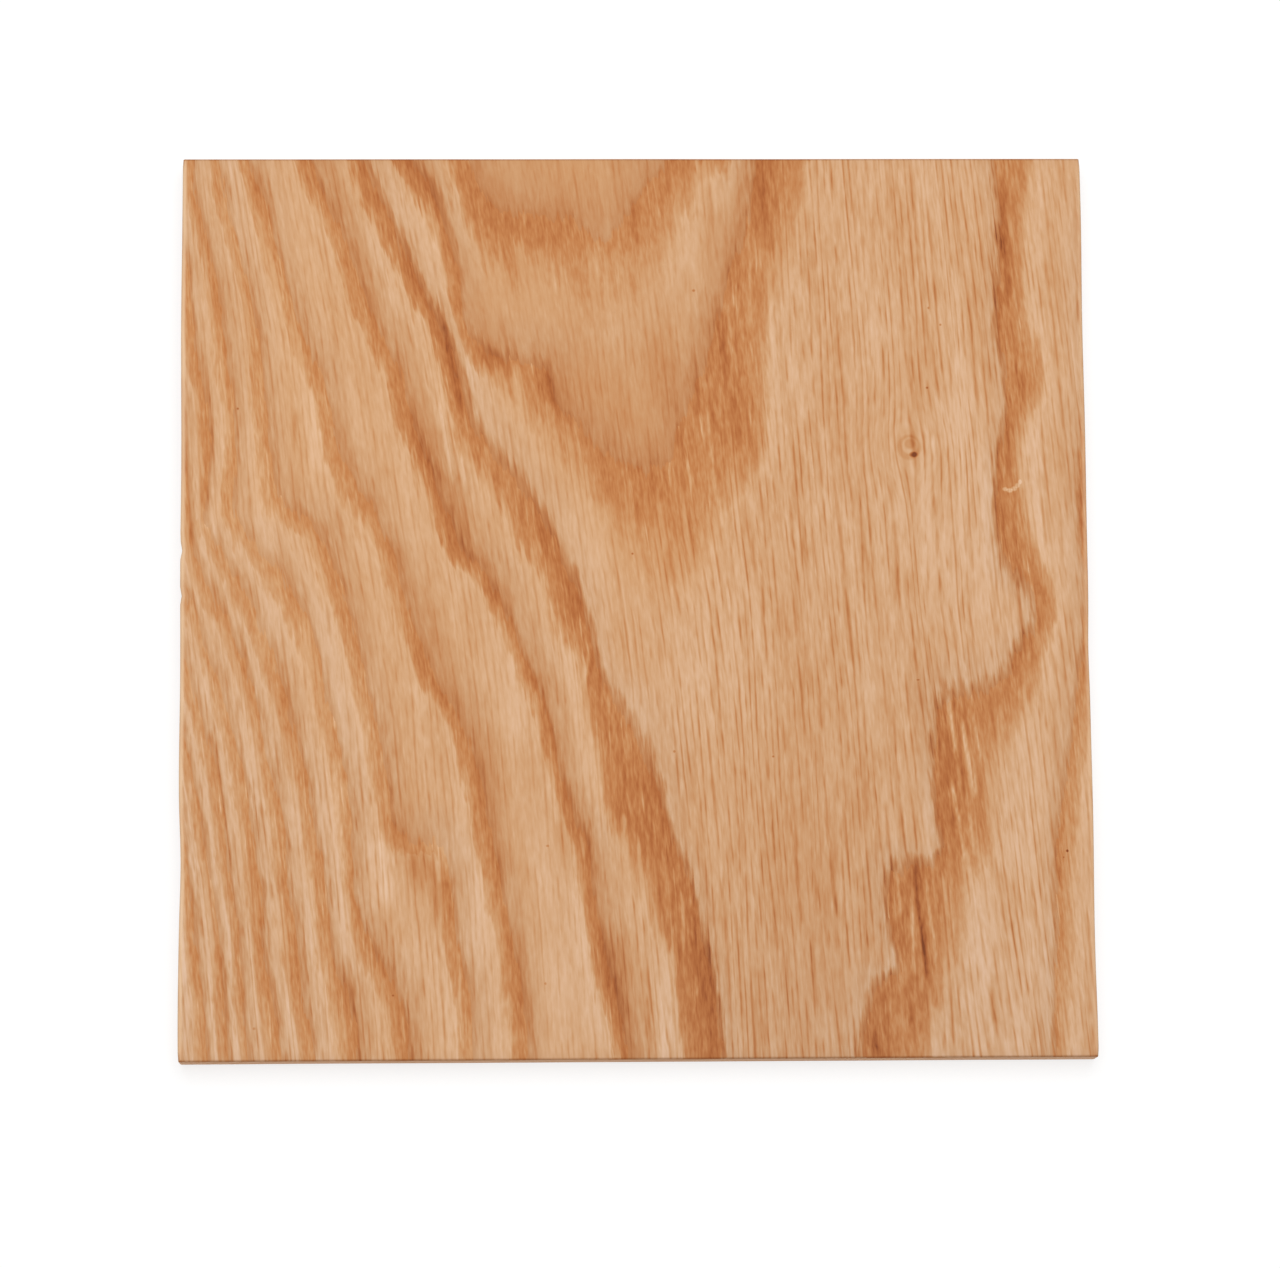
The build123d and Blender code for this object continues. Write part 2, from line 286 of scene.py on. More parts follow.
# Streaks, blotches and pale zones that stand out in the figure. Each has a tone and a half
# width, both in hundredths, then the x and y of each point of its line, in order down the
# face. A tone above 0 darkens and below 0 pales.
MARKS = (
    # The dark seam on the left of the outer cathedral
    (16, 35, -23.4, 36.2, -22.2, 34, -21.3, 31.8),
    (28, 28, -20.9, 30.8, -20.3, 28, -19.8, 25.5, -19.3, 23.2, -18.9, 21.2),
    (14, 30, -22.2, 47.8, -22, 45.8, -21.6, 44.4), (10, 60, -25.2, 40.5, -24.5, 38, -23.8, 36.6),
    (18, 40, -9.5, 26, -9, 24, -8.4, 21.6), (14, 35, -16.1, 28.4, -15.3, 27.4, -14.4, 26.7),
    (13, 25, -13.4, 29.4, -13, 27.6), (10, 35, -24.3, 21, -23.3, 17, -21.8, 14),
    (12, 40, -26.2, 25, -25.8, 23.8), (12, 30, -15.2, 14.5, -14.8, 10.4),
    (-17, 22, -21.4, 22, -20.7, 18, -20, 14), (-17, 22, -19.9, 21, -19.2, 17.5, -18.7, 14),
    (16, 22, -20.5, 20.5, -19.9, 17, -19.4, 13.8), (13, 22, -19.2, 19.5, -18.6, 16, -18.2, 13.5),
    (-7, 80, -23.4, 44, -22.2, 40.5, -20.9, 37), (-6, 80, -19.4, 45.5, -18.4, 41, -17.6, 37),
    (-6, 100, -17.8, 25.5, -17, 22, -15.4, 19), (-4, 250, -12, 21, -11, 18),
    # The left
    (-10, 90, -35.2, 22, -35.5, 13.8), (8, 90, -33, 49, -30.8, 42, -28.8, 36),
    (16, 45, -33.1, 31, -32.9, 28.6), (14, 30, -37.2, 20.5, -37.3, 19),
    (7, 120, -47.3, 49, -46.6, 42, -45.4, 36),
    (10, 80, -23.6, 24, -22.2, 17.5, -20.2, 11.4, -19.2, 8.4),
    (9, 90, -28.2, 13, -26.6, 8, -25, 2.4), (12, 110, -23, 0.6, -22, -3, -20.4, -6.4),
    (32, 150, -25.4, -26.9, -23.6, -28.3, -21.8, -30.8), (10, 90, -32.6, -38.8, -31.4, -42),
    (10, 50, -8.4, -25, -7.4, -29), (12, 90, -28, -37, -27, -39.6),
    (-10, 80, -23.8, -11, -23.6, -14.6), (-24, 90, -28.3, -28, -27.6, -31),
    (-10, 50, -32.8, -19, -32.3, -28, -31.8, -37), (-7, 40, -35.6, -25, -35.2, -38),
    (-8, 35, -40.2, -30, -38.6, -40, -37, -49.6), (-8, 30, -42.3, -36, -41, -49.6),
    (-8, 30, -44.5, -36, -43.4, -49.6), (-8, 25, -46.4, -38, -45.8, -49.6),
    (-8, 30, -48.9, -40, -48, -49.6), (-10, 50, -49.7, -30, -49.3, -49.6),
    (-7, 40, -34, -40, -33.2, -49.6), (-7, 40, -28.7, -43, -28.3, -49),
    (21, 25, -24.4, -28.6, -24.3, -29.6), (16, 30, -48.7, 8.9, -48.7, 7.7),
    (-12, 40, -46.6, 8.6, -46.3, 8), (10, 40, -41.5, 46.8, -41.2, 45.8),
    (10, 40, -40.2, 43.4, -40.1, 42.6), (12, 35, -12.7, 10.4, -12.5, 9.6),
    # Inner cathedral
    (14, 40, 0.2, 44.6, 0, 42.6, 0.4, 40.8), (10, 40, 4.2, 48.6, 3.8, 46.4),
    (16, 25, -0.1, 35.5, 0.1, 34.2), (9, 45, -13.8, 38.1, -13.2, 37.9),
    (-20, 20, -3.9, 40.1, -3.8, 38.2), (-17, 20, -3.9, 37.2, -3.1, 35.4),
    (-15, 20, -8.9, 37.8, -8.6, 35.2), (-14, 20, -9.6, 39.4, -9.4, 37.4),
    (-14, 20, -16.9, 43.6, -16.4, 41.2), (-17, 18, -12, 43.4, -11.9, 42.2),
    (-6, 160, 6.4, 41, 6.2, 34), (-4, 100, 4.6, 44, 5, 41),
    # Right arm of the outer cathedral
    (10, 50, 14.6, 48.5, 14.6, 42), (10, 30, 15.3, 42.5, 15.5, 39.5),
    (12, 30, 14.2, 36.6, 14.4, 34), (12, 30, 15.9, 36.6, 16, 34), (12, 35, 9.9, 28.6, 10.1, 27),
    (8, 30, 9.2, 33.2, 9.3, 30), (18, 22, 10.9, 22.9, 11.1, 21.8), (13, 25, 12.7, 20, 12.9, 17),
    (13, 25, 13.1, 15.6, 13.3, 14.6), (13, 25, 7, 24.2, 7.1, 21.8),
    (-20, 16, 12.8, 46, 12.9, 40, 13, 33), (-17, 18, 10.4, 33.2, 10.7, 30),
    (-17, 18, 11.3, 26.2, 11.5, 23), (-20, 20, 8, 23.8, 8.3, 19, 8.7, 14, 9.5, 9.4),
    (-17, 18, 7.3, 22.4, 7.6, 18), (-7, 70, 15.1, 31, 15, 20),
    # Foot of the outer cathedral
    (14, 30, 2, 12.6, 3, 12.2, 3.6, 11.2), (12, 30, 1, 12, 0.5, 10.4),
    (10, 40, -2.6, 12.2, -1.4, 11.8), (16, 28, 3.5, 5, 3.6, 3.6), (16, 22, 0.2, 10.8, 0.3, 7.4),
    (16, 25, 6, 9.2, 6.4, 6.8), (13, 20, 9.2, 15, 9.6, 11.5), (13, 20, 11.7, 11.2, 12, 8),
    (18, 20, 12.9, 7, 13.2, 3.5),
    # The band below the seam
    (12, 35, -11, 10.2, -10.4, 8, -9.8, 6), (12, 60, -7.7, 5, -7.2, 2.5, -6.7, 0),
    (10, 35, -10.9, 4.6, -10.6, 4), (10, 30, -6.2, 1, -5.4, -3), (16, 25, -5, -7, -5.4, -10.4),
    (13, 25, -4.2, -5, -3.8, -9), (10, 30, -4, -11, -3.2, -13.2), (9, 60, -3.2, -15.8, -2, -16),
    (10, 35, 1, -17, 2, -21), (18, 22, 0.2, -19, 0.7, -19.4), (10, 30, 2.3, -20, 3, -24),
    (16, 25, -1.7, -22, -1.9, -25), (16, 25, -3.5, -19, -3.4, -21.4),
    (14, 30, 3.4, -25.6, 3.5, -28), (18, 25, 3.9, -32, 3.9, -34.2), (10, 40, 6.4, -33, 6.8, -37),
    (16, 25, 6, -36, 6.1, -39.4), (16, 25, 4.4, -37.2, 4.5, -39.2), (10, 30, 7.5, -38, 7.9, -42),
    (8, 50, 8, -44.6, 8.1, -49.4), (16, 25, 0.5, -26, 0.6, -29), (13, 25, -2.2, -23, -2.4, -25.2),
    (16, 22, 2.3, -31, 2.4, -33.2), (16, 22, 3.3, -36, 3.4, -37.8),
    (-24, 20, -5.2, -5.2, -5.5, -8), (-20, 20, -3.2, -10.6, -3.1, -12.2),
    (-20, 18, 1.8, -24.2, 1.9, -25.6), (-20, 18, 3.2, -30.4, 3.3, -31.8),
    (-20, 18, 6.1, -41.4, 6.3, -43.2), (-20, 20, 5.5, -30, 5.7, -33), (-12, 90, 3.1, -40, 3, -48),
    (-6, 80, 0.6, -30, 0.8, -40), (-8, 80, -7.6, -4, -6.6, -12, -5.8, -17.4),
    # The third boundary on the left
    (8, 25, -5.3, -26, -5.5, -29, -4.9, -33, -4, -36.4),
    (10, 22, -4, -36.4, -3.3, -39.4, -2.4, -43, -1.7, -47), (12, 50, -3.8, -38, -3, -38.8),
    (8, 30, -1.5, -36, -1.3, -40), (18, 25, 1, -44, 1.2, -48), (10, 60, -7, -24.4, -6, -27),
    (8, 50, -5, -25, -4.9, -27.4), (12, 30, -19, 6.6, -18.2, 5), (12, 30, -16, 3, -15.2, 0.4),
    (10, 30, -14.3, -1, -13.2, -3), (16, 25, -12.6, -4, -11.8, -6.6, -11, -9),
    (12, 30, -10.2, -10, -9.6, -13, -8.8, -16), (16, 25, -8.2, -18, -7.6, -21),
    (16, 25, -7.8, -11, -7.5, -13), (-9, 160, -13.6, -7, -13.4, -13),
    (-10, 130, -7, -30, -6, -38, -5, -45), (-7, 120, -9.6, -21, -10, -30),
    # The fourth and fifth
    (10, 40, -17.4, -18, -16.6, -23), (10, 40, -19.5, -12, -19, -15),
    (10, 100, -23.4, -8.2, -21.4, -9.8), (12, 40, -15.2, -27.6, -15, -30.6),
    (8, 40, -13.1, -38, -12.6, -44), (10, 35, -13, -46, -12.5, -49),
    (16, 22, -16.7, -29.2, -16.6, -30), (-8, 100, -17, -32, -17, -37),
    # The stepped boundary on the right
    (20, 35, 41, 46.6, 41.2, 43, 41.3, 40, 41.4, 36.4, 41.6, 34.6),
    (16, 25, 42.3, 46, 42.6, 42, 43, 38, 43.1, 35), (12, 35, 43.4, 49.4, 43.2, 46.2),
    (10, 35, 40.5, 34.4, 40.6, 31), (-27, 20, 41, 38, 41.1, 35.6), (12, 35, 42.4, 25.8, 43.1, 23),
    (13, 25, 41.4, 22, 41.2, 15.4), (14, 30, 40, 12.6, 40.2, 6),
    (18, 22, 41.6, 9.4, 42, 6, 42.5, 3), (16, 25, 43.3, 7, 43.8, 4.8), (12, 35, 44, 2.2, 44.9, 0),
    (12, 35, 42.4, -3, 42.1, -6), (16, 25, 41.2, -6.6, 42, -8.6, 43, -9.8),
    (13, 25, 40.5, -10, 41, -13), (16, 25, 39.1, -12, 39.3, -14.2),
    (-51, 20, 34.2, -11.2, 34.5, -13.6, 34.8, -16), (-41, 20, 35.7, -14, 36.4, -18, 36.9, -20.6),
    (-48, 20, 34.6, -21, 35.1, -24, 35.6, -28), (10, 35, 34.1, -15, 34, -20),
    (16, 25, 35.7, -19, 35.9, -23), (10, 30, 32.8, -21.6, 33.3, -26.4),
    (13, 25, 37.3, -20, 37.6, -26), (49, 24, 30.2, -29.6, 30.4, -33, 30.9, -36.6, 31.3, -40.4),
    (21, 24, 31.6, -41.4, 32.3, -43.6), (18, 25, 32.8, -32, 33.3, -35, 33.2, -38.6),
    (16, 22, 33.5, -34.4, 34.2, -38, 34.5, -39.8), (16, 25, 28.5, -33, 28.9, -38),
    (16, 25, 29.6, -44.6, 30, -48), (16, 22, 30.9, -43, 31.3, -46),
    (36, 25, 25.6, -48.3, 25.8, -49), (-40, 20, 28.3, -30, 28.6, -33.6),
    (-37, 22, 29.7, -32.6, 30, -38), (8, 60, 25.6, -29.4, 25.4, -33, 25.2, -37),
    (-22, 16, 28.6, -34, 28.9, -38, 29.1, -41), (-31, 16, 31.4, -31, 31.9, -35, 32.4, -39),
    (-34, 16, 36.9, -13, 37.6, -17), (-34, 16, 35.9, -21.4, 36.4, -25, 36.7, -27.4),
    (16, 20, 33.2, -12.4, 33.1, -17, 33.3, -21), (-15, 180, 36.8, -31.5, 37, -38),
    (-8, 220, 42.4, -14, 42, -26), (-5, 240, 44.6, -6, 43.6, -40),
    (18, 25, 38.4, -42, 38.5, -45.6), (14, 35, 35.4, -46, 35.6, -49.4),
    (10, 30, 46.4, -24.6, 46.2, -30), (10, 30, 45.6, -33, 46.2, -37),
    (21, 22, 45.1, -46, 45.3, -49), (12, 35, 49.2, -5.6, 49.4, -8.8), (14, 35, 49.2, 13, 49.4, 8),
    (-8, 120, 44.6, 45, 45, 30), (-14, 100, 44.4, 17, 44.8, 11, 45.2, 6),
    # The flame between the arms
    (5, 600, 18, -18, 17, -42), (5, 500, 18, -34, 18, -44), (10, 50, 37.3, 34, 37.7, 28),
    (8, 35, 32, 38.6, 32.3, 33), (10, 30, 33.1, 28.4, 33.4, 24), (10, 30, 32.5, 31.4, 32.8, 27),
    (13, 22, 27.8, 28.4, 27.6, 25), (-5, 140, 36, 31, 36.2, 20), (-5, 260, 7.4, -2, 7.6, -9),
    (16, 20, 13.4, -6, 13.6, -9.2), (13, 20, 6.2, -17, 6.4, -20), (13, 20, 16, -20, 16.3, -25),
    (12, 30, 14.6, -23, 14.9, -27.4), (10, 30, 13.4, -27.6, 13.6, -30.4),
    (16, 20, 19.2, -29.4, 19.5, -33.6), (16, 22, 18.9, -37, 19.3, -43.6),
    (13, 20, 16, -39.6, 16.2, -48), (13, 20, 21.4, -28, 21.6, -38),
    (13, 22, 24.6, -30, 24.9, -40), (16, 22, 24.8, -19.6, 25, -24),
    (10, 30, 28.6, -22.8, 28.8, -25.4), (10, 30, 10.6, -26, 10.8, -30.6),
    (18, 22, 17.4, 12.6, 17.6, 10), (18, 22, 18.5, 7.4, 18.5, 5.6),
    (18, 22, 28.6, 3.4, 28.8, 0.6), (16, 25, 17.4, 0, 17.6, -3), (10, 30, 15.6, -3, 15.8, -6),
    (13, 25, 18.6, -5, 19.2, -9.6), (8, 80, 31, 11, 30.8, 8.4), (6, 70, 33.8, 15, 34.2, 12.6),
)
MARK_DEPTH = 0.8
MARK_TAPER = 3.0  # a mark fades this many times further along the fibre than across it


def thin_plate(r):
    """The thin-plate kernel."""
    return np.where(r > 0, r * r * np.log(np.maximum(r, 1e-9)), 0.0)


def along(points, step):
    """The points of a boundary, with more put in so that no two are further apart than step."""
    filled = []
    for start, end in zip(points[:-1], points[1:]):
        count = max(1, math.ceil(np.hypot(*(end - start)[:2]) / step))
        filled += [start + (end - start) * i / count for i in range(count)]
    return filled + [points[-1]]


class RingField:
    """A smooth ring count over the show face that is whole on every growth boundary."""

    def __init__(self):
        rows = []
        for level, late, reach, points in BOUNDARIES.values():
            points = np.reshape(points, (-1, 3)) / (1, 1, 100)
            rows += [(level, late, reach, *p) for p in along(points, BOUNDARY_STEP)]
        self.bands = np.array(rows)
        ends = [(level + EARLY_END, *p) for level, points in EARLY_ENDS.values()
                for p in along(np.reshape(points, (-1, 2)), BOUNDARY_STEP)]
        data = np.concatenate([self.bands[:, [0, 3, 4]], ends])
        self.levels, self.places = data[:, 0], data[:, 1:]
        n = len(data)
        matrix = np.zeros((n + 3, n + 3))
        apart = self.places[:, None] - self.places[None]
        matrix[:n, :n] = thin_plate(np.hypot(apart[..., 0], apart[..., 1]))
        matrix[:n, :n] += RING_SMOOTHING * np.eye(n)
        matrix[:n, n] = 1
        matrix[:n, n + 1:] = self.places
        matrix[n:, :n] = matrix[:n, n:].T
        self.weights = np.linalg.solve(matrix, np.append(self.levels, np.zeros(3)))

    def count(self, x, y):
        """How many rings lie between the cathedral and each point."""
        total = self.weights[-3] + self.weights[-2] * x + self.weights[-1] * y
        for (px, py), weight in zip(self.places, self.weights):
            total = total + weight * thin_plate(np.hypot(x - px, y - py))
        return total

    def band(self, x, y, level):
        """The late share, reach and strength of this level's boundary beside each point."""
        total = BAND_FLOOR * np.array(PLAIN_BAND)[:, None] * np.ones_like(x)
        weight = BAND_FLOOR * np.ones_like(x)
        for own, late, reach, px, py, strength in self.bands:
            share = (level == own) / (1.0 + ((x - px) ** 2 + (y - py) ** 2)) ** 2
            total += share * np.array([[late], [reach], [strength]])
            weight += share
        return total / weight


def fibre_place(x, y):
    """Where across the board the fibre through each point is at mid-height."""
    across = [line[FIBRE_HEIGHTS.index(0)] for line in FIBRE_LINES]
    heights = FIBRE_HEIGHTS[::-1]
    lines = np.stack([np.interp(y, heights, line[::-1]) for line in FIBRE_LINES])
    dx, dy = x - KNOT[0], y - KNOT[1]
    reach = np.exp(-((dx / KNOT_REACH[0]) ** 2) / 2 - (dy / KNOT_REACH[1]) ** 2 / 2)
    x = x - KNOT_PUSH * np.tanh(dx / KNOT_CORE) * reach
    place = np.empty_like(x)
    for i in range(len(across) - 1):
        share = (x - lines[i]) / (lines[i + 1] - lines[i])
        here = across[i] + share * (across[i + 1] - across[i])
        inside = (share >= 0) & (share < 1)
        place[inside] = here[inside]
    return place


def mark_tone(x, y):
    """How much the marks darken or pale each point."""
    tone = np.zeros_like(x)
    for depth, width, *line in MARKS:
        nearest = np.full_like(x, np.inf)
        for ax, ay, bx, by in zip(line[::2], line[1::2], line[2::2], line[3::2]):
            share = np.clip((y - ay) / (by - ay), 0, 1)
            off_x = x - (ax + share * (bx - ax))
            off_y = (y - (ay + share * (by - ay))) / MARK_TAPER
            nearest = np.minimum(nearest, off_x ** 2 + off_y ** 2)
        tone += MARK_DEPTH * (depth / 100) * np.exp(-nearest / (width / 100) ** 2)
    return tone


# The board's mesh


def rounded(x, y, half_x, half_y, radius):
    """Moves points in the corners of a rectangle onto its rounded corners."""
    over_x = np.abs(x) - (half_x - radius)
    over_y = np.abs(y) - (half_y - radius)
    corner = (over_x > 0) & (over_y > 0)
    reach = np.where(corner, np.hypot(over_x, over_y), 1.0)
    shrink = np.where(corner, np.maximum(over_x, over_y) / np.maximum(reach, 1e-9), 1.0)
    new_x = np.where(corner, np.sign(x) * (half_x - radius + over_x * shrink), x)
    new_y = np.where(corner, np.sign(y) * (half_y - radius + over_y * shrink), y)
    return new_x, new_y


def edge_profile():
    """The board's edge from the show face down to the underside, as (inset, height)."""
    profile = []
    for i in range(1, ARRIS_STEPS + 1):
        angle = math.radians(90 * i / ARRIS_STEPS)
        inset, drop = FACE_ARRIS * (1 - math.sin(angle)), FACE_ARRIS * (1 - math.cos(angle))
        profile.append((inset, TOP - drop))
    wall_top, wall_foot = TOP - FACE_ARRIS, BACK_ARRIS
    for i in range(1, WALL_STEPS + 1):
        profile.append((0.0, wall_top + (wall_foot - wall_top) * i / WALL_STEPS))
    for i in range(1, BACK_ARRIS_STEPS + 1):
        angle = math.radians(90 * i / BACK_ARRIS_STEPS)
        profile.append((BACK_ARRIS * (1 - math.cos(angle)), BACK_ARRIS * (1 - math.sin(angle))))
    return profile


def rim_steps(columns, rows):
    """The grid places round the rim of the show face, anticlockwise from the near left corner."""
    near = [(i, 0) for i in range(columns)]
    right = [(columns, j) for j in range(rows)]
    far = [(columns - i, rows) for i in range(columns)]
    left = [(0, rows - j) for j in range(rows)]
    return near + right + far + left


def board_mesh():
    """Points in millimetres and faces of the closed board."""
    points, faces = [], []

    def grid_point(i, j, columns, rows, inset, height):
        half_x, half_y = HALF_X - inset, HALF_Y - inset
        return ((2 * i / columns - 1) * half_x, (2 * j / rows - 1) * half_y, height, inset)

    for j in range(ROWS + 1):
        for i in range(COLUMNS + 1):
            points.append(grid_point(i, j, COLUMNS, ROWS, FACE_ARRIS, TOP))

    def face_index(i, j):
        return j * (COLUMNS + 1) + i

    for j in range(ROWS):
        for i in range(COLUMNS):
            faces.append((face_index(i, j), face_index(i + 1, j),
                          face_index(i + 1, j + 1), face_index(i, j + 1)))

    rim = rim_steps(COLUMNS, ROWS)
    above = [face_index(i, j) for i, j in rim]
    for inset, height in edge_profile():
        start = len(points)
        points += [grid_point(i, j, COLUMNS, ROWS, inset, height) for i, j in rim]
        below = list(range(start, len(points)))
        for k in range(len(rim)):
            after = (k + 1) % len(rim)
            faces.append((above[k], below[k], below[after], above[after]))
        above = below

    # The underside: a coarser grid, one step in from the rim, and a strip that joins them
    columns, rows = COLUMNS // BACK_STEP, ROWS // BACK_STEP
    inner_inset = BACK_ARRIS + BACK_INSET
    start = len(points)
    for j in range(rows + 1):
        for i in range(columns + 1):
            points.append(grid_point(i, j, columns, rows, inner_inset, 0.0))

    def back_index(i, j):
        return start + j * (columns + 1) + i

    for j in range(rows):
        for i in range(columns):
            faces.append((back_index(i, j), back_index(i, j + 1),
                          back_index(i + 1, j + 1), back_index(i + 1, j)))
    inner = [back_index(i, j) for i, j in rim_steps(columns, rows)]
    steps_x, steps_y = COLUMNS // columns, ROWS // rows
    spans = ([steps_x] * columns + [steps_y] * rows) * 2
    outer_at = 0
    for k, span in enumerate(spans):
        after = inner[(k + 1) % len(inner)]
        for s in range(span):
            a, b = above[(outer_at + s) % len(above)], above[(outer_at + s + 1) % len(above)]
            faces.append((a, inner[k], b))
        faces.append((inner[k], after, above[(outer_at + span) % len(above)]))
        outer_at += span
    return np.array(points), faces


# Wear, and the painted light and shade on the edges

NICKS = (  # (x, y, depth, half width) of small notches in the long-grain edges
    (-50, 6.3, 0.3, 0.5),
    (-50, 0.9, 0.18, 0.35),
    (-50, 26.5, 0.12, 0.3),
    (-50, -28, 0.18, 5.0),
    (50, -5, 0.12, 4.0),
)
WAVER = 0.03  # how far the hand-sanded ends wander inwards
SIDE_WAVER = 0.28  # the same for the long-grain edges
WAVER_REACH = 2.0  # how far in from the edge the waver is felt
WASHBOARD = 0.03  # how far the soft early wood is sanded below the late wood
WASHBOARD_PART = (0.25, 0.4)  # the parts of a ring between which that ends
WASHBOARD_EDGE = (0.4, 1.5)  # how far in from the long-grain edges it comes on
ROLL_REACH = 1.2  # how far round an arris the end arrises' darkening and painted shade go, by the size of the arris
END_EDGE_ZONE = (0.45, 0.1)  # how far from an end the end arris darkening and the end faces' pale colour start and are full
SIDE_HIGHLIGHT_ZONE = (0.65, 0.3)  # the same for the long-grain edges
RIGHT_HIGHLIGHT = 0.5  # how strong the right edge's painted highlight is beside the left one's
SAME = 1e-6  # heights or insets closer than this are the same, millimetres


def edge_waver(x, y):
    """How far inwards each point near an edge moves, in X and in Y."""
    def wander(t, seed, swing):
        waves = [math.sin(seed * 7.1 + i) + 2.2 for i in range(4)]
        total = sum(np.sin(t / (3.1 * w) + seed * (i + 1)) for i, w in enumerate(waves))
        return swing * (0.6 + total / 10)

    move_x = -np.sign(x) * np.where(x < 0, wander(y, 1.3, SIDE_WAVER), wander(y, 2.9, SIDE_WAVER))
    move_y = -np.sign(y) * np.where(y < 0, wander(x, 4.2, WAVER), wander(x, 5.7, WAVER))
    for nx, ny, depth, width in NICKS:
        move_x -= math.copysign(depth, nx) * np.exp(-(((y - ny) / width) ** 2)) * (x * nx > 0)
    near_x = np.clip(1 - (HALF_X - np.abs(x)) / WAVER_REACH, 0, 1)
    near_y = np.clip(1 - (HALF_Y - np.abs(y)) / WAVER_REACH, 0, 1)
    return move_x * near_x, move_y * near_y


def smooth_step(value, start, end):
    """0 up to start, 1 from end on, and a smooth rise between them."""
    t = np.clip((value - start) / (end - start), 0, 1)
    return t * t * (3 - 2 * t)


def near_places(x, y, places):
    """The tones of (x, y, reach, tone) places added up at each point."""
    return sum(tone * np.exp(-((x - px) ** 2 + (y - py) ** 2) / span ** 2)
               for px, py, span, tone in places)


def band_at(field, x, y, level, part):
    """The late share, reach and strength of the band at each point."""
    ahead = smooth_step(part, *NEXT_BAND)
    band = (1 - ahead) * field.band(x, y, level) + ahead * field.band(x, y, level + 1)
    late, reach, strength = band
    return late, reach, strength * (1 + CROWDED_GAIN * smooth_step(level, *CROWDED_LEVELS))


def streakiness(x, y, ring):
    """How strong the streaks are at each point."""
    across = smooth_step(x, *STREAKS_ACROSS) * (1 - STREAKS_LEAST) + STREAKS_LEAST
    across = across * (1 - STREAKS_RIGHT_LOSS * smooth_step(x, *STREAKS_RIGHT))
    by_ring = STREAKS_LEAST + (1 - STREAKS_LEAST) * smooth_step(ring, *STREAKS_RING)
    corner = STREAKS_CORNER_GAIN * smooth_step(-y, *STREAKS_NEAR) * smooth_step(-x, *STREAKS_LEFT)
    return across * by_ring + corner


def edge_light_and_tone_at(x, y, z, inset):
    """Where the edges' colours go: the end arrises' darkening, partly end grain and partly painted
    shade; the long-grain arrises' painted highlight; and the end faces' paling, partly end grain
    and partly painted bounce light.
    """
    upper = z > TOP - FACE_ARRIS - SAME
    rolled = upper & (inset < FACE_ARRIS + SAME)
    roll = np.where(rolled, 1 - inset / (ROLL_REACH * FACE_ARRIS), 0.0)
    end = smooth_step(np.abs(y), *(HALF_Y - zone for zone in END_EDGE_ZONE))
    side = smooth_step(np.abs(x), *(HALF_X - zone for zone in SIDE_HIGHLIGHT_ZONE)) * upper
    side = side * np.where(x < 0, 1.0, RIGHT_HIGHLIGHT)
    return np.stack([roll * end, side * (1 - end), (z < TOP - FACE_ARRIS / 2) * end], -1)


def make_board():
    """The board as one closed mesh that carries its rings, fibres, and the places of its edges'
    painted light and shade.
    """
    points, faces = board_mesh()
    x, y, z, inset = points.T
    radius = np.maximum(CORNER_RADIUS - inset, 0.0)
    x, y = rounded(x, y, HALF_X - inset, HALF_Y - inset, radius)

    # Rings and their bands
    field = RingField()
    ring_here = field.count(x, y)
    ring = ring_here - RINGS_PER_MM_DOWN * (TOP - z)
    level = np.floor(ring)
    part = ring - level
    late, reach, strength = band_at(field, x, y, level, part)
    slope_x = (field.count(x + SLOPE_STEP, y) - ring_here) / SLOPE_STEP
    slope_y = (field.count(x, y + SLOPE_STEP) - ring_here) / SLOPE_STEP
    widest = np.where(level < DRAWN_LEVELS, 1.0, WIDEST_EARLY * np.hypot(slope_x, slope_y))
    reach = np.minimum(reach, widest)
    pace = np.maximum(np.hypot(slope_x, ALONG * slope_y), LEAST_PACE)
    soft = 1 + near_places(x, y, SOFT_ENDS)
    widths = np.stack([WOBBLE * pace, 1 / (soft * np.minimum(FADE * pace, WIDEST_FADE)),
                       1 / (SHOULDER * pace)], -1)
    local = np.stack([streakiness(x, y, ring), near_places(x, y, ORANGE_PLACES), soft], -1)
    fibre = np.stack([fibre_place(x, y), y, z], -1)
    # Where the edges' painted shade, painted highlight and painted bounce light go
    wear = edge_light_and_tone_at(x, y, z, inset)

    # The sanded hollows of the early wood and the wander of the edges
    base = np.interp(ring, *np.transpose(RING_TONES)) + mark_tone(x, y) * (z > TOP / 2)
    top = (z > TOP - FACE_ARRIS / 2).astype(float)
    early = 1 - smooth_step(part, *WASHBOARD_PART)
    z = z - WASHBOARD * early * top * smooth_step(HALF_X - np.abs(x), *WASHBOARD_EDGE)
    move_x, move_y = edge_waver(x, y)

    mesh = bpy.data.meshes.new("ash_board")
    vertices = np.stack([x + move_x, y + move_y, z], -1) * MM
    mesh.from_pydata(vertices.tolist(), [], faces)
    mesh.validate()
    mesh.polygons.foreach_set("use_smooth", [True] * len(mesh.polygons))

    def store(name, kind, key, values):
        layer = mesh.attributes.new(name, kind, "POINT")
        layer.data.foreach_set(key, np.ascontiguousarray(values, dtype=np.float32).ravel())

    store("ring", "FLOAT", "value", ring)
    band = np.stack([late * strength, EARLY_END / reach, strength], -1)
    store("band", "FLOAT_VECTOR", "vector", band)
    store("base", "FLOAT", "value", base)
    store("local", "FLOAT_VECTOR", "vector", local)
    store("widths", "FLOAT_VECTOR", "vector", widths)
    store("fibre", "FLOAT_VECTOR", "vector", fibre)
    store("wear", "FLOAT_VECTOR", "vector", wear)
    mesh.update()

    board = bpy.data.objects.new("ash_board", mesh)
    bpy.context.scene.collection.objects.link(board)
    board.data.materials.append(ash_material())
    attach(board, BODY)
    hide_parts(NODE)
    return board


# Material


